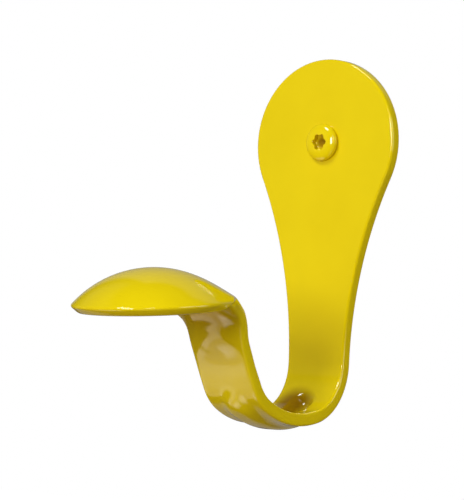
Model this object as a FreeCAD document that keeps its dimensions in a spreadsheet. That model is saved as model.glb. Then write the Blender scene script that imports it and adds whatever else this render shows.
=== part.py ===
import FreeCAD, Part
import Sketcher
import os
from math import acos, asin, atan2, cos, degrees, pi, radians, sin, sqrt, tan

# One pressed steel coat and helmet hook and the screw that fixes it to a wall, in millimetres.
# Frame: X across the hook, +Y into the wall, +Z up. The origin is the middle of the screw hole
# on the wall plane, so the back plate lies from Y = -sheet to Y = 0 and the hook reaches to -Y.

os.makedirs("parts", exist_ok=True)
doc = FreeCAD.newDocument("wall_hook")
Vec = FreeCAD.Vector

# ---------------------------------------------------------------- driving dimensions
DIMENSIONS = [
    ("sheet", 3.0),            # thickness of the steel sheet with its paint
    ("head_radius", 20.0),     # round head of the back plate
    ("waist_half", 8.13),      # half width where the head has narrowed into the strap
    ("waist_drop", 53.05),     # distance of that waist below the screw hole
    ("arm_half", 7.54),        # half width at the narrowest place, on the front arm
    ("plate_drop", 52.5),      # the plate is straight down to here
    ("back_radius", 14.3),     # three outer radii of the lower bend, from the wall forward
    ("floor_radius", 29.0),
    ("front_radius", 12.2),
    ("back_turn", 76.8),       # degrees turned by those three radii
    ("floor_turn", 40.2),
    ("front_turn", 33.3),
    ("arm_length", 3.56),      # straight stretch of the arm above the bend
    ("arm_radius", 36.3),      # then a slight curve, outer face
    ("arm_turn", 14.4),        # and the degrees it turns
    ("flare_start", 97.4),     # distance along the sheet where the arm starts to widen
    ("cap_radius", 18.0),      # rim of the domed pad
    ("cap_height", 7.95),      # height of the dome above its rim
    ("cap_reach", 64.27),      # middle of the rim in front of the wall
    ("cap_drop", 40.37),       # and below the screw hole
    ("cap_tilt", 5.86),        # degrees that the rim leans down to the front
    ("flank_radius", 34.0),    # the dome's back flank, top face
    ("flank_from", 8.0),       # degrees below level where the flank leaves the sphere
    ("neck_slope", 37.4),      # degrees below level where the neck meets the flank
    ("neck_radius", 11.0),     # bend between the arm and the dome, top face
    ("rim_half_turn", 127.0),  # degrees of rim, each side of the front, before the neck
    ("bead_rise", 1.1),        # height of the pressed stiffening beads
    ("bead_half", 4.5),        # half width of the lower bead
    ("bead_start", 61.0),      # it runs from here to here along the sheet
    ("bead_end", 97.0),
    ("dimple_half", 3.6),      # upper bead: half width
    ("dimple_length", 7.0),    # and half length
    ("hole_bore", 5.0),        # clearance hole for the screw
    ("shank_bore", 4.5),       # wood screw: width over its thread
    ("shank_length", 18.0),    # threaded length behind the plate
    ("point_length", 5.0),
    ("screw_neck", 4.0),       # plain neck in the plate's hole
    ("screw_head", 8.8),
    ("screw_rise", 2.0),
    ("screw_rim", 0.5),        # upright rim under the head's dome
    ("socket_bore", 3.0),      # six-lobe socket: middle, lobes and depth
    ("lobe_bore", 0.95),
    ("lobe_circle", 1.48),
    ("socket_depth", 1.5),
]
FLARE_PULL = (0.5, 1.21)   # how strongly the widening edge follows the arm and the rim
CROWN_START = -5.7         # the crown starts this far past the start of the neck bend
CROWN_FULL = 8.1           # and is full this far short of the middle of the dome

sheet = doc.addObject("Spreadsheet::Sheet", "dims")
size = {}
for row, (word, value) in enumerate(DIMENSIONS, start=1):
    sheet.set("A%d" % row, word)
    sheet.set("B%d" % row, str(value))
    sheet.setAlias("B%d" % row, word)
    size[word] = value
doc.recompute()


def checked(obj):
    """Recompute and stop if an object failed."""
    doc.recompute()
    if "Invalid" in obj.State or "Error" in obj.State:
        raise RuntimeError("%s failed: %s" % (obj.Name, obj.getStatusString()))
    return obj


# ---------------------------------------------------------------- middle line of the sheet
half = size["sheet"] / 2


class Track:
    """Middle line of the sheet in side view: straight runs and arcs, by distance along it."""

    def __init__(self, y, z, heading):
        self.runs = []
        self.y, self.z, self.heading = y, z, heading
        self.length = 0.0

    def add(self, length, bend):
        """bend is 1/radius, positive where the sheet turns towards the front and up."""
        self.runs.append((self.length, length, bend, self.y, self.z, self.heading))
        self.y, self.z, self.heading = self.at(self.length + length)
        self.length += length

    def line(self, length):
        self.add(length, 0.0)

    def arc(self, radius, turn):
        self.add(radius * abs(turn), (1 if turn > 0 else -1) / radius)

    def at(self, distance):
        for start, length, bend, y, z, heading in reversed(self.runs):
            if distance >= start - 1e-9:
                break
        gone = distance - start
        if bend == 0.0:
            return y + gone * cos(heading), z + gone * sin(heading), heading
        turned = heading - bend * gone
        middle_y, middle_z = y + sin(heading) / bend, z - cos(heading) / bend
        return middle_y - sin(turned) / bend, middle_z + cos(turned) / bend, turned


track = Track(-half, 0.0, -pi / 2)
track.line(size["plate_drop"])
for word in ("back", "floor", "front"):
    track.arc(size[word + "_radius"] - half, radians(size[word + "_turn"]))
track.line(size["arm_length"])
track.arc(size["arm_radius"] - half, radians(size["arm_turn"]))

# the dome's sphere, and the flank and the neck that lead the arm into it
tilt = radians(size["cap_tilt"])
sphere = (size["cap_radius"] ** 2 + size["cap_height"] ** 2) / (2 * size["cap_height"])
opening = asin(size["cap_radius"] / sphere)
to_rim = sphere * cos(opening)
centre_y = -size["cap_reach"] + to_rim * sin(tilt)
centre_z = -size["cap_drop"] - to_rim * cos(tilt)
middle_sphere = sphere - half
slope, leave = radians(size["neck_slope"]), radians(size["flank_from"])
flank = size["flank_radius"] - half
flank_y = centre_y + (middle_sphere - flank) * sin(leave) + flank * sin(slope)
flank_z = centre_z + (middle_sphere - flank) * cos(leave) + flank * cos(slope)
heading = track.heading
gap_y, gap_z = flank_y - track.y, flank_z - track.z
det = -cos(heading) * sin(slope) - sin(heading) * cos(slope)
arm_run = (-gap_y * sin(slope) - cos(slope) * gap_z) / det
corner_y = track.y + arm_run * cos(heading)
corner_z = track.z + arm_run * sin(heading)
neck_run = sqrt((flank_y - corner_y) ** 2 + (flank_z - corner_z) ** 2)
neck = size["neck_radius"] - half
neck_turn = pi - slope - heading % (2 * pi)
trim = neck * tan(neck_turn / 2)
track.line(arm_run - trim)
neck_start = track.length
track.arc(neck, -neck_turn)
track.line(neck_run - trim)
track.arc(flank, -(slope - leave))
dome_start = track.length
dome_middle = dome_start + middle_sphere * (leave + tilt)
track.arc(middle_sphere, -(leave + tilt + opening))
crown_start, crown_full = neck_start + CROWN_START, dome_middle - CROWN_FULL


def crown(distance):
    """Curvature across the sheet: none on the strap, the sphere's own in the dome."""
    part = min(1.0, max(0.0, (distance - crown_start) / (crown_full - crown_start)))
    return part ** 3 * (10 - 15 * part + 6 * part * part) / middle_sphere


def rim_point(angle):
    """A point of the dome's rim: distance along the sheet, and out from its middle line."""
    along = atan2(sin(opening) * cos(angle), cos(opening))
    return dome_middle + middle_sphere * along, middle_sphere * asin(sin(opening) * sin(angle))


def half_width(distance):
    """Half width of the sheet, measured along its curved middle face."""
    waist, flare = size["waist_drop"], size["flare_start"]
    drift = (size["arm_half"] - size["waist_half"]) / (flare - waist)
    if distance <= flare:
        return size["waist_half"] + drift * (distance - waist)
    last = radians(size["rim_half_turn"])
    end_s, end_u = rim_point(last)
    if distance < end_s:
        near_s, near_u = rim_point(last - 1e-4)
        pull = sqrt((end_s - flare) ** 2 + (end_u - size["arm_half"]) ** 2)
        step = sqrt((near_s - end_s) ** 2 + (near_u - end_u) ** 2)
        first_s, first_u = pull * FLARE_PULL[0], pull * FLARE_PULL[0] * drift
        last_s = pull * FLARE_PULL[1] * (near_s - end_s) / step
        last_u = pull * FLARE_PULL[1] * (near_u - end_u) / step
        low, high = 0.0, 1.0
        for _ in range(50):
            part = (low + high) / 2
            h01 = part * part * (3 - 2 * part)
            h10, h11 = part * (1 - part) ** 2, part * part * (part - 1)
            reached = flare + h01 * (end_s - flare) + h10 * first_s + h11 * last_s
            low, high = (part, high) if reached < distance else (low, part)
        return size["arm_half"] + h01 * (end_u - size["arm_half"]) + h10 * first_u + h11 * last_u
    turn = (distance - dome_middle) / middle_sphere
    return middle_sphere * acos(cos(opening) / cos(turn))


# ---------------------------------------------------------------- sketches
def plane(body, role):
    return [f for f in body.Origin.OriginFeatures if f.Role == role][0]


def sketch(body, name, role, place=None):
    made = body.newObject("Sketcher::SketchObject", name)
    made.AttachmentSupport = [(plane(body, role), "")]
    made.MapMode = "FlatFace"
    if place is not None:
        made.AttachmentOffset = place
    return made


def draw(made, edges):
    """Closed outline from lines (two points) and arcs (start, through, end)."""
    first = made.GeometryCount
    for edge in edges:
        points = [Vec(x, y, 0) for x, y in edge]
        if len(points) == 2:
            made.addGeometry(Part.LineSegment(*points), False)
        else:
            start, through, end = points
            clockwise = (through - start).cross(end - start).z < 0
            made.addGeometry(Part.Arc(*(points[::-1] if clockwise else points)), False)
    for index, edge in enumerate(edges):
        following = edges[(index + 1) % len(edges)]
        here, there = first + index, first + (index + 1) % len(edges)
        made.addConstraint(Sketcher.Constraint("Coincident", here, end_of(made, here, edge[-1]),
                                               there, end_of(made, there, following[0])))
    return first


def end_of(made, index, point):
    """1 or 2: which end of the geometry lies at the point."""
    start = made.getPoint(index, 1)
    return 1 if (start - Vec(point[0], point[1], 0)).Length < 1e-4 else 2


def bind_radius(made, index, name, rule):
    """Hold an arc or circle to a radius that the spreadsheet gives."""
    number = made.addConstraint(Sketcher.Constraint("Radius", index, made.Geometry[index].Radius))
    made.renameConstraint(number, name)
    made.setExpression("Constraints." + name, rule)


def circle(made, x, y, radius):
    made.addGeometry(Part.Circle(Vec(x, y, 0), Vec(0, 0, 1), radius), False)
    return made.GeometryCount - 1


def feature(body, kind, name, profile, **settings):
    made = body.newObject("PartDesign::" + kind, name)
    made.Profile = profile
    for word, value in settings.items():
        setattr(made, word, value)
    return made


def edge_point(distance, side):
    """Side view: the point of the sheet's face, side +1 wall side of the plate, -1 front."""
    y, z, angle = track.at(distance)
    return y - side * half * sin(angle), z + side * half * cos(angle)


def across_place(distance):
    """Placement of a cross-section: x across the sheet, y out of its lower or wall face."""
    y, z, angle = track.at(distance)
    out_y, out_z = -sin(angle), cos(angle)
    turn = FreeCAD.Rotation(Vec(1, 0, 0), degrees(atan2(out_z, out_y)))
    return FreeCAD.Placement(Vec(0, y, z), turn), (out_y, out_z)


# ---------------------------------------------------------------- the hook
hook = doc.addObject("PartDesign::Body", "hook_body")
hook.Label = "hook_body"

# the domed pad: a shell of even thickness turned about the dome's own axis
dome_place = FreeCAD.Placement(Vec(centre_y, centre_z, 0),
                               FreeCAD.Rotation(Vec(0, 0, 1), size["cap_tilt"]))
dome_sketch = sketch(hook, "dome_section", "YZ_Plane", dome_place)
inner_sphere = sphere - size["sheet"]


def polar(radius, angle):
    return radius * sin(angle), radius * cos(angle)


draw(dome_sketch, [
    (polar(inner_sphere, 0), polar(sphere, 0)),
    (polar(sphere, 0), polar(sphere, opening / 2), polar(sphere, opening)),
    (polar(sphere, opening), polar(inner_sphere, opening)),
    (polar(inner_sphere, opening), polar(inner_sphere, opening / 2), polar(inner_sphere, 0)),
])
dome = feature(hook, "Revolution", "dome", dome_sketch, Angle=360.0,
               ReferenceAxis=(dome_sketch, ["V_Axis"]))
checked(dome)
whole_dome = dome.Shape.Volume

# the dome gives way to the flank behind the plane where the flank starts
back_angle = (dome_middle - dome_start) / middle_sphere
reach = 2 * size["head_radius"]
back_sketch = sketch(hook, "dome_back", "YZ_Plane", dome_place)
draw(back_sketch, [
    ((0, 0), polar(reach, back_angle)),
    (polar(reach, back_angle), (reach, polar(reach, back_angle)[1])),
    ((reach, polar(reach, back_angle)[1]), (reach, 0)),
    ((reach, 0), (0, 0)),
])
back_cut = feature(hook, "Pocket", "dome_back_cut", back_sketch, Midplane=True)
back_cut.setExpression("Length", "4 * dims.head_radius")
checked(back_cut)
assert back_cut.Shape.Volume < 0.95 * whole_dome

# the neck: sections across the sheet, flat at the arm and crowned at the dome
SECTIONS = 9
arm_end = crown_start
sections = []
for number in range(SECTIONS):
    distance = arm_end + (dome_start - arm_end) * number / (SECTIONS - 1)
    place, _ = across_place(distance)
    section = sketch(hook, "neck_section_%d" % (number + 1), "XY_Plane", place)
    width, bend = half_width(distance), crown(distance)

    def across(side, turn):
        """A point of the section: side -1 top face, +1 underside; turn -1 to 1 across it."""
        if bend == 0.0:
            return width * turn, side * half
        radius, lean = 1 / bend - side * half, bend * width * turn
        return radius * sin(lean), 1 / bend - radius * cos(lean)

    faces = []
    for side in (-1, 1):
        face = [across(side, -side * turn) for turn in (-1.0, 0.0, 1.0)]
        faces.append(face if bend else [face[0], face[-1]])
    top, under = faces
    draw(section, [top, (top[-1], under[0]), under, (under[-1], top[0])])
    sections.append(section)
checked(sections[-1])
neck_loft = feature(hook, "AdditiveLoft", "neck", sections[0], Sections=sections[1:], Ruled=False)
checked(neck_loft)

# the strap from the neck round the lower bend to the plate
strap_sketch = sketch(hook, "strap_side", "YZ_Plane")
stations = [start for start, *_ in track.runs if start < arm_end] + [arm_end]
stations = stations[1:]
edges, radii = [], []
for side in (1, -1):
    chain = list(zip(stations[:-1], stations[1:]))
    if side < 0:
        chain = [(b, a) for a, b in reversed(chain)]
    for a, b in chain:
        bend = [run[2] for run in track.runs if run[0] <= (a + b) / 2][-1]
        points = [edge_point(a, side), edge_point(b, side)]
        if bend:
            points.insert(1, edge_point((a + b) / 2, side))
            radii.append((len(edges), side, round(1 / bend + half, 6)))
        edges.append(points)
    edges.append([edges[-1][-1], edge_point(stations[-1] if side > 0 else stations[0], -side)])
draw(strap_sketch, edges)
names = {size[word]: word for word in ("back_radius", "floor_radius", "front_radius", "arm_radius")}
for index, side, radius in radii:
    word = names[radius]
    rule = "dims." + word if side > 0 else "dims.%s - dims.sheet" % word
    bind_radius(strap_sketch, index, "%s_%s" % (word, "outer" if side > 0 else "inner"), rule)
strap = feature(hook, "Pad", "strap", strap_sketch, Midplane=True)
strap.setExpression("Length", "2 * dims.waist_half")
checked(strap)
untapered = strap.Shape.Volume

# the strap narrows a little on its way forward, so its two sides are trimmed from below
taper_sketch = sketch(hook, "strap_taper", "XY_Plane")
MARGIN = 0.3               # the cut starts clear of the plate and ends just above the arm
taper_from = -size["sheet"] - MARGIN
taper_to = edge_point(arm_end, 1)[0] - 3 * MARGIN
clear = 1.5 * size["waist_half"]
front_half = half_width(arm_end)
for side in (-1, 1):
    draw(taper_sketch, [
        ((side * size["waist_half"], taper_from), (side * clear, taper_from)),
        ((side * clear, taper_from), (side * clear, taper_to)),
        ((side * clear, taper_to), (side * front_half, taper_to)),
        ((side * front_half, taper_to), (side * size["waist_half"], taper_from)),
    ])
taper = feature(hook, "Pocket", "strap_taper_cut", taper_sketch, Midplane=True)
lowest = -size["waist_drop"] - size["floor_radius"]
highest = max(edge_point(arm_end, 1)[1], edge_point(arm_end, -1)[1]) + MARGIN
taper_sketch.AttachmentOffset = FreeCAD.Placement(Vec(0, 0, (lowest + highest) / 2),
                                                  FreeCAD.Rotation())
taper.Length = highest - lowest
checked(taper)
assert taper.Shape.Volume < untapered - 1.0

# the back plate: a round head that flows into the strap through two long tangent arcs
plate_sketch = sketch(hook, "plate_face", "XZ_Plane")
R, W, H = size["head_radius"], size["waist_half"], size["waist_drop"]
blend = (W * W + H * H - R * R) / (2 * (R - W))
meet = atan2(H, W + blend)
end = -size["plate_drop"]
end_half = W + blend - sqrt(blend ** 2 - (H + end) ** 2)
between = asin((H + end) / blend) / 2 + meet / 2


def head(side, angle):
    return side * R * cos(angle), R * sin(angle)


def waist(side, angle):
    return side * (W + blend - blend * cos(angle)), -H + blend * sin(angle)


draw(plate_sketch, [
    (head(1, -meet), head(1, pi / 2), head(-1, -meet)),
    (head(-1, -meet), waist(-1, between), (-end_half, end)),
    ((-end_half, end), (end_half, end)),
    ((end_half, end), waist(1, between), head(1, -meet)),
])
bind_radius(plate_sketch, 0, "head", "dims.head_radius")
plate = feature(hook, "Pad", "plate", plate_sketch, Reversed=False)
plate.setExpression("Length", "dims.sheet")
checked(plate)
assert abs(plate.Shape.BoundBox.YMax) < 1e-3

# stiffening bead pressed outwards round the lower bend, with its recess on the inside;
# each section also runs a little way past the face that it starts from
BEAD_ROOT = 0.9
bead_path = sketch(hook, "bead_path", "YZ_Plane")
bead_from, bead_to = size["bead_start"], size["bead_end"]
marks = [bead_from] + [s for s in stations if bead_from < s < bead_to] + [bead_to]
for a, b in zip(marks[:-1], marks[1:]):
    y_a, z_a = track.at(a)[:2]
    y_m, z_m = track.at((a + b) / 2)[:2]
    y_b, z_b = track.at(b)[:2]
    straight = abs((y_m - y_a) * (z_b - z_a) - (z_m - z_a) * (y_b - y_a)) < 1e-6
    if straight:
        bead_path.addGeometry(Part.LineSegment(Vec(y_a, z_a, 0), Vec(y_b, z_b, 0)), False)
    else:
        arc = Part.Arc(Vec(y_b, z_b, 0), Vec(y_m, z_m, 0), Vec(y_a, z_a, 0))
        bead_path.addGeometry(arc, False)
bead_place, _ = across_place(bead_from)
wide = size["bead_half"]
for kind, name, face in (("AdditivePipe", "bead", half), ("SubtractivePipe", "bead_recess", -half)):
    foot = face - BEAD_ROOT
    bead_sketch = sketch(hook, name + "_section", "XY_Plane", bead_place)
    draw(bead_sketch, [
        ((-wide, face), (0, face + size["bead_rise"]), (wide, face)),
        ((wide, face), (wide, foot)),
        ((wide, foot), (-wide, foot)),
        ((-wide, foot), (-wide, face)),
    ])
    before = hook.Tip.Shape.Volume
    bead = feature(hook, kind, name, bead_sketch, Spine=(bead_path, []))
    checked(bead)
    assert abs(bead.Shape.Volume - before) > 50.0

# a shorter bead across the inside of the upper bend: an ellipsoid sunk a little in the face
DIMPLE_SINK = 0.5
dimple_place, (out_y, out_z) = across_place(neck_start + neck * neck_turn / 2)
for kind, name, face in (("AdditiveEllipsoid", "dimple", half),
                         ("SubtractiveEllipsoid", "dimple_recess", -half)):
    middle = face - DIMPLE_SINK
    before = hook.Tip.Shape.Volume
    dimple = hook.newObject("PartDesign::" + kind, name)
    dimple.Radius1 = size["bead_rise"] + DIMPLE_SINK
    dimple.Radius2 = size["dimple_half"]
    dimple.Radius3 = size["dimple_length"]
    dimple.Angle1, dimple.Angle2, dimple.Angle3 = -90.0, 90.0, 360.0
    dimple.AttachmentSupport = [(plane(hook, "XY_Plane"), "")]
    dimple.MapMode = "FlatFace"
    place = FreeCAD.Placement(dimple_place)
    place.Base = place.Base + Vec(0, middle * out_y, middle * out_z)
    place.Rotation = place.Rotation.multiply(FreeCAD.Rotation(Vec(1, 0, 0), -90.0))
    dimple.AttachmentOffset = place
    checked(dimple)
    assert abs(dimple.Shape.Volume - before) > 2.0

# clearance hole for the screw
hole_sketch = sketch(hook, "hole_face", "XZ_Plane")
bind_radius(hole_sketch, circle(hole_sketch, 0, 0, size["hole_bore"] / 2), "bore",
            "dims.hole_bore / 2")
before = hook.Tip.Shape.Volume
hole = feature(hook, "Pocket", "hole", hole_sketch, Midplane=True)
hole.setExpression("Length", "4 * dims.sheet")
checked(hole)
assert hole.Shape.Volume < before - 40.0

# ---------------------------------------------------------------- the screw
screw = doc.addObject("PartDesign::Body", "wall_screw")
screw.Label = "wall_screw"
screw_sketch = sketch(screw, "screw_section", "YZ_Plane")
face = -size["sheet"]
head_half, rise = size["screw_head"] / 2, size["screw_rise"]
core, bare = size["shank_bore"] / 2, size["screw_neck"] / 2
threaded = size["shank_length"]
tip = threaded + size["point_length"]
rim_rise = size["screw_rim"]
sag = rise - rim_rise
ball = (head_half ** 2 + sag ** 2) / (2 * sag)
shoulder = 0.6 * head_half
shoulder_rise = rise - ball + sqrt(ball ** 2 - shoulder ** 2)
draw(screw_sketch, [
    ((face - rise, 0), (face, 0)),
    ((face, 0), (tip, 0)),
    ((tip, 0), (threaded, core)),
    ((threaded, core), (0, core)),
    ((0, core), (0, bare)),
    ((0, bare), (face, bare)),
    ((face, bare), (face, head_half)),
    ((face, head_half), (face - rim_rise, head_half)),
    ((face - rim_rise, head_half), (face - shoulder_rise, shoulder), (face - rise, 0)),
])
screw_turned = feature(screw, "Revolution", "screw_turned", screw_sketch, Angle=360.0,
                       ReferenceAxis=(screw_sketch, ["H_Axis"]))
checked(screw_turned)

# six-lobe socket: a round middle and one lobe, repeated six times
socket_place = FreeCAD.Placement(Vec(0, 0, -(face - rise)), FreeCAD.Rotation())
socket_sketch = sketch(screw, "socket_middle", "XZ_Plane", socket_place)
bind_radius(socket_sketch, circle(socket_sketch, 0, 0, size["socket_bore"] / 2), "middle",
            "dims.socket_bore / 2")
before = screw.Tip.Shape.Volume
socket = feature(screw, "Pocket", "socket", socket_sketch, Reversed=False)
socket.setExpression("Length", "dims.socket_depth")
checked(socket)
assert socket.Shape.Volume < before - 1.0
lobe_sketch = sketch(screw, "socket_lobe", "XZ_Plane", socket_place)
bind_radius(lobe_sketch, circle(lobe_sketch, 0, size["lobe_circle"], size["lobe_bore"] / 2),
            "lobe", "dims.lobe_bore / 2")
lobe = feature(screw, "Pocket", "lobe", lobe_sketch, Reversed=False)
lobe.setExpression("Length", "dims.socket_depth")
checked(lobe)
lobes = screw.newObject("PartDesign::PolarPattern", "lobes")
lobes.Originals = [lobe]
lobes.Axis = (lobe_sketch, ["N_Axis"])
lobes.Angle = 360.0
lobes.Occurrences = 6
screw.Tip = lobes
checked(lobes)

# ---------------------------------------------------------------- checks and export
doc.recompute()
for obj in doc.Objects:
    if "Invalid" in obj.State or "Error" in obj.State:
        raise RuntimeError("%s failed: %s" % (obj.Label, obj.State))
for body in (hook, screw):
    shape = body.Shape
    if shape.isNull() or not shape.isValid() or len(shape.Solids) != 1:
        raise RuntimeError("%s is not one valid solid" % body.Label)
    box = shape.BoundBox
    print(body.Label, "volume", round(shape.Volume, 1), "box",
          [round(v, 2) for v in (box.XMin, box.YMin, box.ZMin, box.XMax, box.YMax, box.ZMax)])
    shape.exportStep("parts/%s.step" % body.Label)
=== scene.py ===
from math import asin, atan2, ceil, cos, hypot, pi, radians, sin, sqrt, tan

import bpy
import numpy as np
from mathutils import Matrix, Vector


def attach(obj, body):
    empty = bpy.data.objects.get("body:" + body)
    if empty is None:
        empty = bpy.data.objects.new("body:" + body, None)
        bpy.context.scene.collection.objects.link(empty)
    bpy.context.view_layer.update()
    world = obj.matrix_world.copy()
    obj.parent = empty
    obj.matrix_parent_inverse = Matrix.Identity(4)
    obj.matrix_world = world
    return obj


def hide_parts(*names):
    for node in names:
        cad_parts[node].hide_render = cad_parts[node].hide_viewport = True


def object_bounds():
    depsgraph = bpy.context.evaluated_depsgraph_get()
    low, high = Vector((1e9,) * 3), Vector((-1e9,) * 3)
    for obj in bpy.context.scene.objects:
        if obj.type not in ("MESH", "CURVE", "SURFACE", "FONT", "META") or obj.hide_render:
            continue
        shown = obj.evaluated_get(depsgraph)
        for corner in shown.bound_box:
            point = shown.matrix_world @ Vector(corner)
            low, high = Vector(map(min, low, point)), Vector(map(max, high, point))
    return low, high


# A yellow painted steel wall hook for a helmet, hat or coat, and its screw. The hook is one
# pressed sheet: its outline is laid out flat, as the distance along the sheet and the distance
# out from its middle line, and each point is then carried onto the bent and domed middle face.
# Lengths are in millimetres here and become metres when a mesh is made.

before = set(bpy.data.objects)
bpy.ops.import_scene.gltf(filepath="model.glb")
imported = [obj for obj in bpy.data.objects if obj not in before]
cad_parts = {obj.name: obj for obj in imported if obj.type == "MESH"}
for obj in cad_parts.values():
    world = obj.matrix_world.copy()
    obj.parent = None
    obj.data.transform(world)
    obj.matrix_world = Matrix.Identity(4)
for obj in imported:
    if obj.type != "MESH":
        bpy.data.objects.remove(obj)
cad_low, cad_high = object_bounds()
MM = 0.001

# ---------------------------------------------------------------- driving dimensions
SHEET = 3.0                # thickness of the steel sheet with its paint
HEAD_RADIUS = 20.0         # round head of the back plate
WAIST_HALF = 8.13          # half width where the head has narrowed into the strap
WAIST_DROP = 53.05         # distance of that waist below the screw hole
ARM_HALF = 7.54            # half width at the narrowest place, on the front arm
PLATE_DROP = 52.5          # the plate is straight down to here
BEND_RADII = (14.3, 29.0, 12.2)      # outer radii of the lower bend, from the wall forward
BEND_TURNS = (76.8, 40.2, 33.3)      # degrees turned by each
ARM_LENGTH = 3.56          # straight stretch of the arm above the bend
ARM_RADIUS = 36.3          # then a slight curve, outer face
ARM_TURN = 14.4            # and the degrees it turns
FLARE_START = 97.4         # distance along the sheet where the arm starts to widen
FLARE_PULL = (0.5, 1.21)   # how strongly the widening edge follows the arm and the rim
CAP_RADIUS = 18.0          # rim of the domed pad
CAP_HEIGHT = 7.95          # height of the dome above its rim
CAP_REACH = 64.27          # middle of the rim in front of the wall
CAP_DROP = 40.37           # and below the screw hole
CAP_TILT = 5.86            # degrees that the rim leans down to the front
FLANK_RADIUS = 34.0        # the dome's back flank, top face
FLANK_FROM = 8.0           # degrees below level where the flank leaves the sphere
NECK_SLOPE = 37.4          # degrees below level where the neck meets the flank
NECK_RADIUS = 11.0         # bend between the arm and the dome, top face
RIM_HALF_TURN = 127.0      # degrees of rim, each side of the front, before the neck
CROWN_START = -5.7         # the crown starts this far past the start of the neck bend
CROWN_FULL = 8.1           # and is full this far short of the middle of the dome
HOLE_BORE = 5.0            # clearance hole for the screw
HALF = SHEET / 2

# pressed stiffening bead round the lower bend. Pairs are the throat side, then the outside
BEAD_RISE = (1.9, 1.15)
BEAD_HALF = (3.9, 5.4)     # half width at its foot
BEAD_WALL = (3.2, 4.4)     # width of its sloping sides
BEAD_RUN = (60.2, 96.5)    # where it runs along the sheet
BEAD_ENDS = (5.5, 8.0)     # length of its rounded ends, at the wall and at the arm
# and the ridge on the outside of the upper bend, about as wide as the sheet is there
RIDGE_RISE = 2.2
RIDGE_HALF = 8.5
RIDGE_CREST = 20.0         # a larger value spreads its crest's curve over more of its width
RIDGE_RUN = (100.0, 121.0)
RIDGE_ENDS = (10.5, 10.5)  # length of its run-outs

# rounding of the sheet's edges under the paint
EDGE_FRONT = 0.55          # on the side of the plate's front, the throat and the dome's top
EDGE_NECK = 1.3            # that side is rounder where the neck flows into the dome
NECK_RUN = (102.0, 128.0)  # the stretch of sheet where it is
NECK_ENDS = (8.0, 10.0)    # and the lengths over which it changes
EDGE_BACK = 0.6
RIM_BACK = 1.05            # the dome's lower edge is rounder
RIM_START = 112.0          # it starts to be so here along the sheet
RIM_EASE = 10.0            # and is fully so this much further on
HOLE_EDGE = 0.3

# mesh density
COLUMNS = 15               # columns on each side of the middle
HEAD_ROWS = 40
STRAP_ROWS = 104
DOME_ROWS = 44
INSET = 1.7                # width of the even border inside the outline
FRONT_BORDER = 0.25        # front face: from the rounded edge to the next row of points
BACK_BORDER = 1.35         # back face: from the outline to the next row of points
EDGE_STEPS = 4             # steps round each rounded edge
STRAP_FROM = 34.0          # the even rows of the strap start here along the sheet
STRAP_PAST = 6.0           # and end this far past the start of the flare
CORNER_TRIM = 0.9          # the dome's corner of the grid, as a share of the head's
HOLE_BLOCK = 4             # half size, in cells, of the patch round the screw hole
HOLE_RINGS = (0.35, 0.7, 1.0)        # shares of the way from that patch's edge to the hole
SMOOTHING = 200            # passes that even out the two ends of the grid


# ---------------------------------------------------------------- middle line of the sheet
class Track:
    """Middle line of the sheet in side view: straight runs and arcs, by distance along it."""

    def __init__(self, y, z, heading):
        self.runs = []
        self.y, self.z, self.heading = y, z, heading
        self.length = 0.0

    def add(self, length, bend):
        """bend is 1/radius, positive where the sheet turns towards the front and up."""
        self.runs.append((self.length, bend, self.y, self.z, self.heading))
        self.y, self.z, self.heading = self.at(self.length + length)
        self.length += length

    def line(self, length):
        self.add(length, 0.0)

    def arc(self, radius, turn):
        self.add(radius * abs(turn), (1 if turn > 0 else -1) / radius)

    def at(self, distance):
        for start, bend, y, z, heading in reversed(self.runs):
            if distance >= start - 1e-9:
                break
        gone = distance - start
        if bend == 0.0:
            return y + gone * cos(heading), z + gone * sin(heading), heading
        turned = heading - bend * gone
        middle_y, middle_z = y + sin(heading) / bend, z - cos(heading) / bend
        return middle_y - sin(turned) / bend, middle_z + cos(turned) / bend, turned


track = Track(-HALF, 0.0, -pi / 2)
track.line(PLATE_DROP)
for outer, turn in zip(BEND_RADII, BEND_TURNS):
    track.arc(outer - HALF, radians(turn))
track.line(ARM_LENGTH)
track.arc(ARM_RADIUS - HALF, radians(ARM_TURN))

# the dome's sphere, and the flank and the neck that lead the arm into it
tilt = radians(CAP_TILT)
sphere = (CAP_RADIUS ** 2 + CAP_HEIGHT ** 2) / (2 * CAP_HEIGHT)
opening = asin(CAP_RADIUS / sphere)
to_rim = sphere * cos(opening)
centre_y = -CAP_REACH + to_rim * sin(tilt)
centre_z = -CAP_DROP - to_rim * cos(tilt)
middle_sphere = sphere - HALF
slope, leave = radians(NECK_SLOPE), radians(FLANK_FROM)
flank = FLANK_RADIUS - HALF
flank_y = centre_y + (middle_sphere - flank) * sin(leave) + flank * sin(slope)
flank_z = centre_z + (middle_sphere - flank) * cos(leave) + flank * cos(slope)
heading = track.heading
gap_y, gap_z = flank_y - track.y, flank_z - track.z
det = -cos(heading) * sin(slope) - sin(heading) * cos(slope)
arm_run = (-gap_y * sin(slope) - cos(slope) * gap_z) / det
corner_y = track.y + arm_run * cos(heading)
corner_z = track.z + arm_run * sin(heading)
neck_run = sqrt((flank_y - corner_y) ** 2 + (flank_z - corner_z) ** 2)
neck = NECK_RADIUS - HALF
neck_turn = pi - slope - heading % (2 * pi)
trim = neck * tan(neck_turn / 2)
track.line(arm_run - trim)
neck_start = track.length
track.arc(neck, -neck_turn)
track.line(neck_run - trim)
track.arc(flank, -(slope - leave))
dome_start = track.length
dome_middle = dome_start + middle_sphere * (leave + tilt)
track.arc(middle_sphere, -(leave + tilt + opening))
crown_start, crown_full = neck_start + CROWN_START, dome_middle - CROWN_FULL


def ease(part):
    """0 to 1 with no step in slope or curvature at either end."""
    part = min(1.0, max(0.0, part))
    return part ** 3 * (10 - 15 * part + 6 * part * part)


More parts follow.
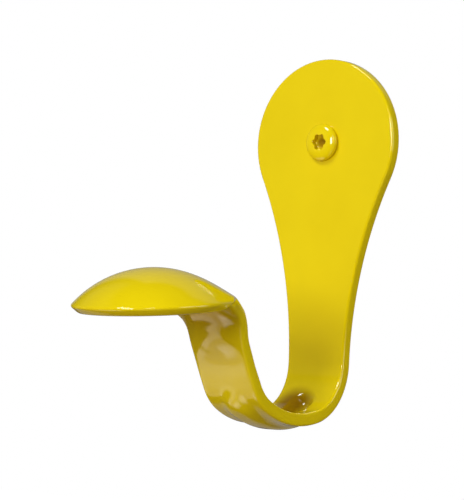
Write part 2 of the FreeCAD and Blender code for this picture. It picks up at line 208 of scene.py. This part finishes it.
def stretch(distance, run, ends):
    """1 inside a stretch of the sheet, eased to 0 at either end of it."""
    return ease((distance - run[0]) / ends[0]) * ease((run[1] - distance) / ends[1])


def crown(distance):
    """Curvature across the sheet: none on the strap, the sphere's own in the dome."""
    return ease((distance - crown_start) / (crown_full - crown_start)) / middle_sphere


def footprint(distance, out, run, ends, half):
    """1 on the middle line of a pressed bead, 0 on its outline and beyond."""
    before = max(0.0, (run[0] + ends[0] - distance) / ends[0])
    after = max(0.0, (distance - run[1] + ends[1]) / ends[1])
    return max(0.0, 1 - hypot(max(before, after), out / half))


def pressed(distance, out, level):
    """How far the beads push the sheet outwards, here and this far from its middle line."""
    share = 0.5 + level / SHEET
    rise, half, wall = (throat + (outside - throat) * share
                        for throat, outside in (BEAD_RISE, BEAD_HALF, BEAD_WALL))
    bead = rise * ease(footprint(distance, out, BEAD_RUN, BEAD_ENDS, half) * half / wall)
    along = stretch(distance, RIDGE_RUN, RIDGE_ENDS)
    across = ((hypot(out, RIDGE_CREST) - RIDGE_CREST)
              / (hypot(RIDGE_HALF, RIDGE_CREST) - RIDGE_CREST))
    return bead + RIDGE_RISE * along * max(0.0, 1 - across)


def place(distance, out, level):
    """Point of the bent sheet. level runs from -HALF, the front, to HALF, the back."""
    y, z, angle = track.at(distance)
    out_y, out_z = -sin(angle), cos(angle)
    bend = max(crown(distance), 1e-9)
    lean = bend * out
    rise = (1 - cos(lean)) / bend
    level = level + pressed(distance, out, level)
    return (sin(lean) / bend - sin(lean) * level,
            y + out_y * (rise + cos(lean) * level),
            z + out_z * (rise + cos(lean) * level))


# ---------------------------------------------------------------- outline, laid out flat
def rim_point(angle):
    """A point of the dome's rim: distance along the sheet, and out from its middle line."""
    along = atan2(sin(opening) * cos(angle), cos(opening))
    return dome_middle + middle_sphere * along, middle_sphere * asin(sin(opening) * sin(angle))


def half_outline():
    """The right half of the outline, from the top of the plate to the front of the dome."""
    blend = (WAIST_HALF ** 2 + WAIST_DROP ** 2 - HEAD_RADIUS ** 2) / (
        2 * (HEAD_RADIUS - WAIST_HALF))
    meet = atan2(WAIST_DROP, WAIST_HALF + blend)
    points = [(HEAD_RADIUS * sin(a), HEAD_RADIUS * cos(a))
              for a in np.linspace(-pi / 2, meet, 400)]
    points += [(WAIST_DROP - blend * sin(a), WAIST_HALF + blend * (1 - cos(a)))
               for a in np.linspace(meet, 0, 300)[1:]]
    last = radians(RIM_HALF_TURN)
    end = np.array(rim_point(last))
    before = np.array(rim_point(last - 1e-4))
    rim_way = (before - end) / np.linalg.norm(before - end)
    start = np.array((FLARE_START, ARM_HALF))
    arm_way = np.array((1.0, (ARM_HALF - WAIST_HALF) / (FLARE_START - WAIST_DROP)))
    pull = np.linalg.norm(end - start)
    points.append(tuple(start))
    for part in np.linspace(0, 1, 300)[1:]:
        points.append(tuple(
            start * (1 + part * part * (2 * part - 3)) + end * part * part * (3 - 2 * part)
            + arm_way * pull * FLARE_PULL[0] * part * (1 - part) ** 2
            + rim_way * pull * FLARE_PULL[1] * part * part * (part - 1)))
    points += [rim_point(a) for a in np.linspace(last, 0, 500)[1:]]
    return np.array(points)


class Outline:
    """Points of the right half of the outline by length along it, with the way inwards."""

    def __init__(self, points):
        self.points = points
        steps = np.linalg.norm(np.diff(points, axis=0), axis=1)
        self.lengths = np.concatenate(([0.0], np.cumsum(steps)))
        self.total = self.lengths[-1]

    def at(self, length):
        return np.array([np.interp(length, self.lengths, self.points[:, k]) for k in (0, 1)])

    def inwards(self, length):
        span = 0.3
        low, high = max(0.0, length - span), min(self.total, length + span)
        way = self.at(high) - self.at(low)
        if low == 0.0 or high == self.total:
            way = np.array((0.0, 1.0 if low == 0.0 else -1.0)) if length in (
                0.0, self.total) else way
        way = way / np.linalg.norm(way)
        return np.array((way[1], -way[0]))

    def reaching(self, distance):
        """Length along the outline at a distance along the sheet."""
        return float(np.interp(distance, self.points[:, 0], self.lengths))


outline = Outline(half_outline())
head_corner = HEAD_RADIUS * pi / 4
dome_corner = outline.total - head_corner * CORNER_TRIM
strap_from = outline.reaching(STRAP_FROM)
strap_to = outline.reaching(FLARE_START + STRAP_PAST)
stations = np.concatenate([
    np.linspace(0, head_corner, COLUMNS + 1),
    np.linspace(head_corner, strap_from, HEAD_ROWS + 1)[1:],
    np.linspace(strap_from, strap_to, STRAP_ROWS + 1)[1:],
    np.linspace(strap_to, dome_corner, DOME_ROWS + 1)[1:],
    np.linspace(dome_corner, outline.total, COLUMNS + 1)[1:],
])
ROWS = HEAD_ROWS + STRAP_ROWS + DOME_ROWS
HALF_LOOP = ROWS + 2 * COLUMNS


def loop_points(inset):
    """The whole closed outline, moved inwards by an amount that may vary along it."""
    right = []
    for length in stations:
        point = outline.at(length)
        amount = inset(point[0]) if callable(inset) else inset
        right.append(point + amount * outline.inwards(length))
    left = [np.array((p[0], -p[1])) for p in right[-2:0:-1]]
    return right + left


def grid_of_loop(index):
    """Row and column of the inner grid that a point of the closed loop belongs to."""
    mirrored = index > HALF_LOOP
    index = 2 * HALF_LOOP - index if mirrored else index
    if index <= COLUMNS:
        row, column = 0, COLUMNS + index
    elif index <= COLUMNS + ROWS:
        row, column = index - COLUMNS, 2 * COLUMNS
    else:
        row, column = ROWS, 2 * COLUMNS - (index - COLUMNS - ROWS)
    return row, 2 * COLUMNS - column if mirrored else column


def flat_grid():
    """Inner grid of the outline, laid out flat: even rows on the strap, eased in both ends."""
    grid = np.zeros((ROWS + 1, 2 * COLUMNS + 1, 2))
    for index, point in enumerate(loop_points(INSET)):
        grid[grid_of_loop(index)] = point
    across = np.linspace(0, 1, 2 * COLUMNS + 1)[:, None]
    for row in range(1, ROWS):
        grid[row, :] = grid[row, 0] * (1 - across) + grid[row, -1] * across
    blocks = ((0, HEAD_ROWS), (HEAD_ROWS + STRAP_ROWS, ROWS))
    for low, high in blocks:
        along = np.linspace(0, 1, high - low + 1)[:, None]
        for column in range(1, 2 * COLUMNS):
            t = across[column, 0]
            left, right = grid[low:high + 1, 0], grid[low:high + 1, -1]
            first, last = grid[low, column].copy(), grid[high, column].copy()
            chord = left * (1 - t) + right * t
            ends = (first - chord[0]) * (1 - along) + (last - chord[-1]) * along
            grid[low:high + 1, column] = chord + ends
    for _ in range(SMOOTHING):
        for low, high in blocks:
            part = grid[low:high + 1]
            part[1:-1, 1:-1] = (part[:-2, 1:-1] + part[2:, 1:-1]
                                + part[1:-1, :-2] + part[1:-1, 2:]) / 4
    return grid


# ---------------------------------------------------------------- mesh of the hook
class Mesh:
    """Points and faces, gathered before they become an object."""

    def __init__(self):
        self.points, self.faces = [], []

    def add(self, points):
        first = len(self.points)
        self.points.extend(points)
        return list(range(first, len(self.points)))

    def band(self, one, other):
        """Quads between two closed loops of the same length."""
        count = len(one)
        for k in range(count):
            following = (k + 1) % count
            self.faces.append((one[k], one[following], other[following], other[k]))

    def make(self, name, material):
        data = bpy.data.meshes.new(name)
        data.from_pydata([[c * MM for c in p] for p in self.points], [], self.faces)
        data.materials.append(material)
        data.shade_smooth()
        data.validate()
        made = bpy.data.objects.new(name, data)
        bpy.context.scene.collection.objects.link(made)
        return made


def edge_profile(distance):
    """Inset and level of the points round the sheet's edge, from the front face to the back."""
    back = EDGE_BACK + (RIM_BACK - EDGE_BACK) * ease((distance - RIM_START) / RIM_EASE)
    front = EDGE_FRONT + (EDGE_NECK - EDGE_FRONT) * stretch(distance, NECK_RUN, NECK_ENDS)
    turns = [pi / 2 * k / EDGE_STEPS for k in range(EDGE_STEPS + 1)]
    points = [(front + FRONT_BORDER, -HALF)]
    points += [(front * (1 - sin(turn)), -HALF + front * (1 - cos(turn))) for turn in turns]
    points += [(back * (1 - cos(turn)), HALF - back * (1 - sin(turn))) for turn in turns]
    points.append((BACK_BORDER, HALF))
    return points


def block_loop():
    """Grid places round the patch that holds the screw hole, anticlockwise from one corner."""
    row = int(np.argmin(abs(flat[:, COLUMNS, 0])))
    k = HOLE_BLOCK
    around = [(row - k, COLUMNS - k + n) for n in range(2 * k)]
    around += [(row - k + n, COLUMNS + k) for n in range(2 * k)]
    around += [(row + k, COLUMNS + k - n) for n in range(2 * k)]
    around += [(row + k - n, COLUMNS - k) for n in range(2 * k)]
    return row, around


def hook_mesh():
    mesh = Mesh()
    grids = {}
    hole_row, around = block_loop()
    inside = range(hole_row - HOLE_BLOCK, hole_row + HOLE_BLOCK)
    beside = range(COLUMNS - HOLE_BLOCK, COLUMNS + HOLE_BLOCK)
    for level in (-HALF, HALF):
        numbers = np.zeros(flat.shape[:2], int)
        for row in range(ROWS + 1):
            points = [place(s, u, level) for s, u in flat[row]]
            numbers[row] = mesh.add(points)
        grids[level] = numbers
        for row in range(ROWS):
            for column in range(2 * COLUMNS):
                if row in inside and column in beside:
                    continue
                a, b = numbers[row, column], numbers[row, column + 1]
                c, d = numbers[row + 1, column + 1], numbers[row + 1, column]
                mesh.faces.append((a, b, c, d) if level > 0 else (d, c, b, a))

    # the edge, from the front face round to the back
    profile_steps = len(edge_profile(0))
    loops = []
    for step in range(profile_steps):
        points = loop_points(lambda distance: edge_profile(distance)[step][0])
        loops.append(mesh.add([place(s, u, edge_profile(s)[step][1]) for s, u in points]))
    ends = {level: [grids[level][grid_of_loop(k)] for k in range(2 * HALF_LOOP)]
            for level in grids}
    chain = [ends[-HALF]] + loops + [ends[HALF]]
    for one, other in zip(chain[:-1], chain[1:]):
        mesh.band(one, other)

    # the screw hole, through the patch that was left out
    count = len(around)
    turns = [radians(-135) + 2 * pi * k / count for k in range(count)]
    bore = HOLE_BORE / 2
    chain = []
    for level in (-HALF, HALF):
        rim = [grids[level][cell] for cell in around]
        rings = []
        for share in HOLE_RINGS:
            ring = []
            for k, cell in enumerate(around):
                s, u = flat[cell]
                goal_s = (bore + HOLE_EDGE) * sin(turns[k])
                goal_u = (bore + HOLE_EDGE) * cos(turns[k])
                ring.append(place(s + (goal_s - s) * share, u + (goal_u - u) * share, level))
            rings.append(mesh.add(ring))
        wall = []
        for lean in (radians(45), radians(90)):
            radius = bore + HOLE_EDGE * (1 - sin(lean))
            inset = HOLE_EDGE * (1 - cos(lean))
            depth = level - inset if level > 0 else level + inset
            wall.append(mesh.add([place(radius * sin(t), radius * cos(t), depth) for t in turns]))
        side = [rim] + rings + wall
        chain += side if level < 0 else side[::-1]
    for one, other in zip(chain[:-1], chain[1:]):
        mesh.band(other, one)
    return mesh


flat = flat_grid()


# ---------------------------------------------------------------- the screw
SCREW_HEAD = 4.4           # radius of the pan head
SCREW_RISE = 2.0           # height of its top above the plate
HEAD_RIM = 0.5             # height of the head's widest part off the plate
HEAD_UNDER = 0.7           # how far the rim draws in below that
HEAD_FULLNESS = 2.9        # 2 is an ellipse; more is flatter on top
# rows of points: shares of the way from the socket's lip to the rim, and from there down
HEAD_RINGS = (0.15, 0.3, 0.45, 0.6, 0.72, 0.82, 0.89, 0.94, 0.97, 0.985, 0.995, 1.0)
UNDER_RINGS = (0.25, 0.5, 0.75, 1.0)
SOCKET_DEPTH = 1.5
LOBE_MIDDLE = 1.75         # the six-lobe socket: mean radius and how far its lobes reach
LOBE_REACH = 0.2
LOBE_ROUNDING = 0.12       # widens the lobes and narrows the points between them
FLOOR_CONE = 0.35          # the socket's floor has a shallow drill point, this deep
FLOOR_CONE_RADIUS = 1.2    # and this far out
FLOOR_RINGS = (0.3, 0.6, 0.85)
FLOOR_CORNER = ((0.96, 0.0), (0.985, 0.12))      # share of the radius, height above the floor
SOCKET_WALL_RINGS = (0.35, 0.7)                  # shares of the depth
SOCKET_LIP = ((0.0, 0.17), (0.04, 0.07), (0.11, 0.015), (0.2, 0.0))    # out, and down
THREAD_CREST = 2.25        # radius over the thread
THREAD_ROOT = 1.55         # and between its turns
THREAD_PITCH = 2.0
THREAD_FLANK = 0.3         # half the thread's width, as a share of the pitch
THREAD_FLAT = 1.15         # more than 1 leaves a small flat on the crest
THREAD_START = (-0.3, 2.0)       # where the neck starts to change into it, and over what length
POINT_FADE = 1.6           # the thread fades over the last 1 / 1.6 of the point's length
POINT_TIP = 0.12           # radius of the tip, as a share of the root
SHANK_NECK = 2.0           # radius of the plain neck
SHANK_END = 18.0           # the point starts this far behind the wall plane
POINT_LENGTH = 5.0
SHANK_STEP = 0.16          # spacing of the shank's rings
SHANK_AROUND = 48
HEAD_AROUND = 96

socket_floor = SHEET + SCREW_RISE - SOCKET_DEPTH


def lobe(turn):
    """Radius of the six-lobe socket's outline."""
    wave = cos(6 * turn)
    return LOBE_MIDDLE + LOBE_REACH * (wave + LOBE_ROUNDING * (1 - wave * wave))


def ring(radius_at, height_at):
    """Points round the screw's head, at a radius by angle and a height by radius."""
    points = []
    for k in range(HEAD_AROUND):
        turn = 2 * pi * k / HEAD_AROUND
        radius = radius_at(turn)
        points.append((radius * cos(turn), -height_at(radius), radius * sin(turn)))
    return points


def dome_height(radius):
    """Front of the pan head above the wall plane: flatter in the middle than at its shoulder."""
    left = max(0.0, 1 - (radius / SCREW_HEAD) ** HEAD_FULLNESS)
    return SHEET + HEAD_RIM + (SCREW_RISE - HEAD_RIM) * left ** (1 / HEAD_FULLNESS)


def screw_head_mesh():
    mesh = Mesh()
    loops = []

    def add_ring(radius_at, height_at):
        loops.append(mesh.add(ring(radius_at, height_at)))

    middle = mesh.add([(0.0, -socket_floor + FLOOR_CONE, 0.0)])[0]
    for share in FLOOR_RINGS:
        add_ring(lambda t: share * lobe(t),
                 lambda r: socket_floor - FLOOR_CONE * max(0.0, 1 - r / FLOOR_CONE_RADIUS))
    for share, height in FLOOR_CORNER:
        add_ring(lambda t: share * lobe(t), lambda r: socket_floor + height)
    for share in SOCKET_WALL_RINGS:
        add_ring(lobe, lambda r: socket_floor + share * SOCKET_DEPTH)
    for out, down in SOCKET_LIP:
        add_ring(lambda t: lobe(t) + out, lambda r: dome_height(r) - down)
    lip_width = SOCKET_LIP[-1][0]
    for share in HEAD_RINGS:
        add_ring(lambda t: (lobe(t) + lip_width) * (1 - share) + SCREW_HEAD * share, dome_height)
    for down in UNDER_RINGS:
        drawn = HEAD_UNDER * (1 - sqrt(1 - down ** 2))
        add_ring(lambda t: SCREW_HEAD - drawn, lambda r: SHEET + HEAD_RIM * (1 - down))
    add_ring(lambda t: SHANK_NECK, lambda r: SHEET)
    back = mesh.add([(0.0, -SHEET, 0.0)])[0]
    first, last = loops[0], loops[-1]
    for k in range(HEAD_AROUND):
        following = (k + 1) % HEAD_AROUND
        mesh.faces.append((middle, first[k], first[following]))
        mesh.faces.append((back, last[following], last[k]))
    for one, other in zip(loops[:-1], loops[1:]):
        mesh.band(other, one)
    return mesh


def thread_radius(along, turn):
    """Radius of the shank: a plain neck, then one thread that fades into the point."""
    phase = (along / THREAD_PITCH - turn / (2 * pi)) % 1.0
    crest = max(0.0, 1 - abs(phase - 0.5) / THREAD_FLANK)
    depth = (THREAD_CREST - THREAD_ROOT) * ease(crest * THREAD_FLAT)
    start = ease((along - THREAD_START[0]) / THREAD_START[1])
    end = min(1.0, max(0.0, (SHANK_END + POINT_LENGTH - along) / POINT_LENGTH))
    root = THREAD_ROOT * (POINT_TIP + (1 - POINT_TIP) * sin(pi / 2 * end))
    return SHANK_NECK * (1 - start) + (root + depth * min(1.0, end * POINT_FADE)) * start


def screw_shank_mesh():
    mesh = Mesh()
    loops = []
    length = SHEET + SHANK_END + POINT_LENGTH
    rows = ceil(length / SHANK_STEP)
    for row in range(rows + 1):
        along = -SHEET + length * row / rows
        points = []
        for k in range(SHANK_AROUND):
            turn = 2 * pi * k / SHANK_AROUND
            radius = thread_radius(along, turn)
            points.append((radius * cos(turn), along, radius * sin(turn)))
        loops.append(mesh.add(points))
    for one, other in zip(loops[:-1], loops[1:]):
        mesh.band(other, one)
    tip = mesh.add([(0.0, length - SHEET, 0.0)])[0]
    top = mesh.add([(0.0, -SHEET, 0.0)])[0]
    for k in range(SHANK_AROUND):
        following = (k + 1) % SHANK_AROUND
        mesh.faces.append((loops[-1][k], tip, loops[-1][following]))
        mesh.faces.append((loops[0][following], top, loops[0][k]))
    return mesh


# ---------------------------------------------------------------- materials
def shader(name, **settings):
    """A node material with the Principled shader's plain settings, and its parts."""
    material = bpy.data.materials.new(name)
    material.use_nodes = True
    nodes, links = material.node_tree.nodes, material.node_tree.links
    principled = nodes["Principled BSDF"]
    for word, value in settings.items():
        principled.inputs[word.replace("_", " ")].default_value = value
    return material, nodes, links, principled


def add_node(nodes, kind, **settings):
    made = nodes.new("ShaderNode" + kind)
    for word, value in settings.items():
        if hasattr(made, word):
            setattr(made, word, value)
        else:
            made.inputs[word.replace("_", " ")].default_value = value
    return made


# painted shade: the paint colour is darkened in the throat recess and in the screw's socket, where
# shade falls. The recess:
# distance along the sheet and out from its middle line; half lengths are across, along, off, in mm
RECESS_MIDDLE = (65.5, -2.6)
RECESS_HALF = (6.6, 9.5, 3.2)
SOCKET_HALF = (2.2, 1.7, 2.2)
PAINTED_SHADE_COLOUR = (0.33, 0.18, 0.001, 1)
PAINTED_SHADE_FULL = 0.3            # it is full inside this share of the half lengths
# noise scales are per metre; a bump is its strength and its height in metres
PAINT_TONES = ((0.82, 0.615, 0.0015, 1), (0.86, 0.655, 0.0025, 1))
TONE_RANGE = (0.3, 0.7)    # the part of the noise that the two tones are spread over
TONE_SCALE = 60.0
PEEL_SCALE = 700.0
PEEL_BUMP = (0.02, 0.0004)
WAVE_SCALE = 130.0
WAVE_BUMP = (0.05, 0.001)
ZINC_TONES = ((0.42, 0.43, 0.45, 1), (0.62, 0.63, 0.65, 1))
ZINC_SCALE = 900.0


def painted_shade_mask(nodes, links, where, middle, tilt, half):
    """Mask of painted shade: 1 in the middle of a hollow, fading to 0 at its rim. Middle and half
    lengths are in mm.
    """
    turned = add_node(nodes, "Mapping", vector_type="TEXTURE")
    links.new(where, turned.inputs["Vector"])
    turned.inputs["Location"].default_value = Vector(middle) * MM
    turned.inputs["Rotation"].default_value = (tilt, 0, 0)
    turned.inputs["Scale"].default_value = Vector(half) * MM
    length = add_node(nodes, "VectorMath", operation="LENGTH")
    links.new(turned.outputs["Vector"], length.inputs[0])
    fade = add_node(nodes, "MapRange", interpolation_type="SMOOTHSTEP")
    links.new(length.outputs["Value"], fade.inputs["Value"])
    fade.inputs["From Min"].default_value = 1.0
    fade.inputs["From Max"].default_value = PAINTED_SHADE_FULL
    return fade.outputs["Result"]


def yellow_paint(name, middle, tilt, half):
    """Thick gloss coat on steel: a slightly uneven film with a fine orange peel, and painted shade
    that darkens the colour in one hollow.
    """
    material, nodes, links, principled = shader(
        name, Roughness=0.07, IOR=1.5, Coat_Weight=0.0)
    coords = add_node(nodes, "TexCoord")
    tone = add_node(nodes, "TexNoise", Scale=TONE_SCALE, Detail=3.0, Roughness=0.5)
    links.new(coords.outputs["Object"], tone.inputs["Vector"])
    ramp = add_node(nodes, "ValToRGB")
    for stop, colour, position in zip(ramp.color_ramp.elements, PAINT_TONES, TONE_RANGE):
        stop.color = colour
        stop.position = position
    links.new(tone.outputs["Fac"], ramp.inputs["Fac"])
    # painted shade: the colour is mixed towards a dark brown in the hollow
    painted_shade = painted_shade_mask(nodes, links, coords.outputs["Object"], middle, tilt, half)
    shade = add_node(nodes, "Mix", data_type="RGBA")
    links.new(painted_shade, shade.inputs["Factor"])
    links.new(ramp.outputs["Color"], shade.inputs[6])
    shade.inputs[7].default_value = PAINTED_SHADE_COLOUR
    links.new(shade.outputs[2], principled.inputs["Base Color"])
    peel = add_node(nodes, "TexNoise", Scale=PEEL_SCALE, Detail=2.0, Roughness=0.5)
    links.new(coords.outputs["Object"], peel.inputs["Vector"])
    wave = add_node(nodes, "TexNoise", Scale=WAVE_SCALE, Detail=1.0, Roughness=0.4)
    links.new(coords.outputs["Object"], wave.inputs["Vector"])
    fine = add_node(nodes, "Bump", Strength=PEEL_BUMP[0], Distance=PEEL_BUMP[1])
    links.new(peel.outputs["Fac"], fine.inputs["Height"])
    broad = add_node(nodes, "Bump", Strength=WAVE_BUMP[0], Distance=WAVE_BUMP[1])
    links.new(wave.outputs["Fac"], broad.inputs["Height"])
    links.new(fine.outputs["Normal"], broad.inputs["Normal"])
    links.new(broad.outputs["Normal"], principled.inputs["Normal"])
    return material


def zinc():
    """Zinc plating in slightly uneven greys."""
    material, nodes, links, principled = shader(
        "zinc", Roughness=0.32, Metallic=1.0)
    coords = add_node(nodes, "TexCoord")
    tone = add_node(nodes, "TexNoise", Scale=ZINC_SCALE, Detail=4.0)
    links.new(coords.outputs["Object"], tone.inputs["Vector"])
    ramp = add_node(nodes, "ValToRGB")
    for stop, colour in zip(ramp.color_ramp.elements, ZINC_TONES):
        stop.color = colour
    links.new(tone.outputs["Fac"], ramp.inputs["Fac"])
    links.new(ramp.outputs["Color"], principled.inputs["Base Color"])
    return material


# the hollows that get painted shade: the hook's throat recess and the screw head's socket
recess_middle = Vector(place(*RECESS_MIDDLE, -HALF))
recess_ahead = Vector(place(RECESS_MIDDLE[0] + 1, RECESS_MIDDLE[1], -HALF)) - recess_middle
hook_paint = yellow_paint("yellow_paint", recess_middle,
                          atan2(recess_ahead.z, recess_ahead.y), RECESS_HALF)
head_paint = yellow_paint("yellow_head_paint", (0, -socket_floor, 0), 0, SOCKET_HALF)

hook = hook_mesh().make("hook", hook_paint)
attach(hook, "root")
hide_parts("hook_body")

head = screw_head_mesh().make("screw_head", head_paint)
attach(head, "root")
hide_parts("wall_screw")
shank = screw_shank_mesh().make("screw_shank", zinc())
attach(shank, "root")


# ---------------------------------------------------------------- floor, light and camera
FLOOR_DROP = 1.2           # metres below the screw hole
FLOOR_REACH = 12.0
FLOOR_GLOW = 0.9


def make_floor():
    """Pale floor, well below the hook, that lights nothing and shows in no reflection."""
    data = bpy.data.meshes.new("floor")
    r, z = FLOOR_REACH, -FLOOR_DROP
    data.from_pydata([(-r, -r, z), (r, -r, z), (r, r, z), (-r, r, z)], [], [(0, 1, 2, 3)])
    floor = bpy.data.objects.new("floor", data)
    bpy.context.scene.collection.objects.link(floor)
    material, _, _, principled = shader("floor_paint", Roughness=0.9)
    principled.inputs["Base Color"].default_value = (0.9, 0.9, 0.9, 1)
    principled.inputs["Emission Color"].default_value = (1, 1, 1, 1)
    principled.inputs["Emission Strength"].default_value = FLOOR_GLOW
    data.materials.append(material)
    floor.visible_diffuse = False
    floor.visible_glossy = False
    floor.visible_shadow = False


# what the gloss sees round the hook. Each patch: direction in degrees (azimuth from the front,
# positive towards +X, and elevation), half width, half height, softness and brightness. What
# each one stands for is a guess
SURROUNDINGS = 0.04        # brightness of the rest
WHITE_PATCHES = (
    (-160, 28, 36, 34, 8, 0.28),     # backdrop behind and above
    (-130, -33, 25, 18, 8, 0.3),     # backdrop below
    (-60, 8, 40, 16, 10, 0.12),
    (-80, 42, 35, 14, 10, 0.08),
    (-54, -40, 25, 3.5, 3, 0.7),     # lit edge of the table
    (-45, -59, 22, 8, 6, 1.6),
    (102, 12, 22, 17, 8, 3.0),       # window or lamp out of sight on the right
)
WARM_PATCHES = (
    (-54, -49, 25, 12.5, 3, 1.45),   # table top below the hook
    (40, -45, 20, 20, 8, 0.85),
)
TABLE_TINT = (1.0, 0.72, 0.5)


def make_world():
    world = bpy.data.worlds.new("studio")
    bpy.context.scene.world = world
    world.use_nodes = True
    nodes, links = world.node_tree.nodes, world.node_tree.links
    direction = add_node(nodes, "TexCoord").outputs["Generated"]

    def maths(operation, one, other=None):
        made = add_node(nodes, "Math", operation=operation)
        for socket, value in zip(made.inputs, (one, other)):
            if isinstance(value, (int, float)):
                socket.default_value = value
            elif value is not None:
                links.new(value, socket)
        return made.outputs[0]

    def inside(angle, half, blur):
        """1 within half of the middle, falling softly to 0 over blur degrees."""
        away = maths("ABSOLUTE", angle)
        made = add_node(nodes, "MapRange", interpolation_type="SMOOTHSTEP")
        links.new(away, made.inputs["Value"])
        made.inputs["From Min"].default_value = half + blur / 2
        made.inputs["From Max"].default_value = half - blur / 2
        return made.outputs["Result"]

    def glow(patches, least, tint):
        """A background of this tint with these patches in it."""
        total = None
        for azimuth, elevation, half_wide, half_high, blur, strength in patches:
            turned = add_node(nodes, "Mapping", vector_type="VECTOR")
            links.new(direction, turned.inputs["Vector"])
            turned.inputs["Rotation"].default_value = (0, 0, radians(-azimuth))
            parts = add_node(nodes, "SeparateXYZ")
            links.new(turned.outputs["Vector"], parts.inputs["Vector"])
            ahead = maths("MULTIPLY", parts.outputs["Y"], -1.0)
            around = maths("DEGREES", maths("ARCTAN2", parts.outputs["X"], ahead))
            above = maths("DEGREES", maths("ARCSINE", parts.outputs["Z"]))
            above = maths("SUBTRACT", above, elevation)
            patch = maths("MULTIPLY", inside(around, half_wide, blur),
                          inside(above, half_high, blur))
            patch = maths("MULTIPLY", patch, strength)
            total = patch if total is None else maths("ADD", total, patch)
        made = add_node(nodes, "Background")
        links.new(maths("ADD", total, least), made.inputs["Strength"])
        made.inputs["Color"].default_value = (*tint, 1)
        return made.outputs["Background"]

    both = add_node(nodes, "AddShader")
    links.new(glow(WHITE_PATCHES, SURROUNDINGS, (1, 1, 1)), both.inputs[0])
    links.new(glow(WARM_PATCHES, 0.0, TABLE_TINT), both.inputs[1])
    seen = add_node(nodes, "Background")
    seen.inputs["Color"].default_value = (1, 1, 1, 1)
    seen.inputs["Strength"].default_value = 1.0
    mix = add_node(nodes, "MixShader")
    links.new(add_node(nodes, "LightPath").outputs["Is Camera Ray"], mix.inputs["Fac"])
    links.new(both.outputs["Shader"], mix.inputs[1])
    links.new(seen.outputs["Background"], mix.inputs[2])
    links.new(mix.outputs["Shader"], nodes["World Output"].inputs["Surface"])


# softboxes: name, direction in degrees, distance, width and height in metres, brightness
SOFTBOXES = (
    ("key_low", 4, 8, 1.5, 0.38, 0.42, 19.5),
    ("key_high", -16, 46, 1.5, 0.4, 0.38, 22.0),
    ("key_right", 34, 22, 1.5, 0.34, 0.6, 5.0),
)
KEY_TINT = (0.97, 1.0, 1.0)


def make_softboxes():
    middle = (cad_low + cad_high) / 2
    for name, azimuth, elevation, distance, width, height, brightness in SOFTBOXES:
        a, e = radians(azimuth), radians(elevation)
        way = Vector((sin(a) * cos(e), -cos(a) * cos(e), sin(e)))
        data = bpy.data.lights.new(name, "AREA")
        data.shape = "RECTANGLE"
        data.size, data.size_y = width, height
        data.energy = brightness * width * height * pi
        data.color = KEY_TINT
        light = bpy.data.objects.new(name, data)
        bpy.context.scene.collection.objects.link(light)
        light.matrix_world = (Matrix.Translation(middle + way * distance)
                              @ way.to_track_quat("Z", "Y").to_matrix().to_4x4())
        light.visible_camera = False


make_floor()
make_world()
make_softboxes()

VIEW_AZIMUTH = 38.144      # degrees round from the front, towards +X
VIEW_ELEVATION = -1.805
VIEW_ROLL = 2.245
VIEW_DISTANCE = 0.6
VIEW_ASIDE = (-0.022654, -0.026394)
LENS = 180.247


def aim_camera():
    azimuth, elevation, roll = (radians(a) for a in (VIEW_AZIMUTH, VIEW_ELEVATION, VIEW_ROLL))
    forward = Vector((-sin(azimuth) * cos(elevation), cos(azimuth) * cos(elevation),
                      -sin(elevation)))
    right = Vector((cos(azimuth), sin(azimuth), 0))
    up = right.cross(forward)
    target = right * VIEW_ASIDE[0] + up * VIEW_ASIDE[1]
    spot = target - forward * VIEW_DISTANCE
    rolled_right = right * cos(roll) + up * sin(roll)
    rolled_up = up * cos(roll) - right * sin(roll)
    turn = Matrix((rolled_right, rolled_up, -forward)).transposed()
    data = bpy.data.cameras.new("camera")
    data.lens = LENS
    data.sensor_width = 36.0
    data.clip_start = 0.01
    camera = bpy.data.objects.new("camera", data)
    bpy.context.scene.collection.objects.link(camera)
    camera.matrix_world = Matrix.Translation(spot) @ turn.to_4x4()
    bpy.context.scene.camera = camera


aim_camera()
bpy.context.scene.view_settings.view_transform = "Standard"
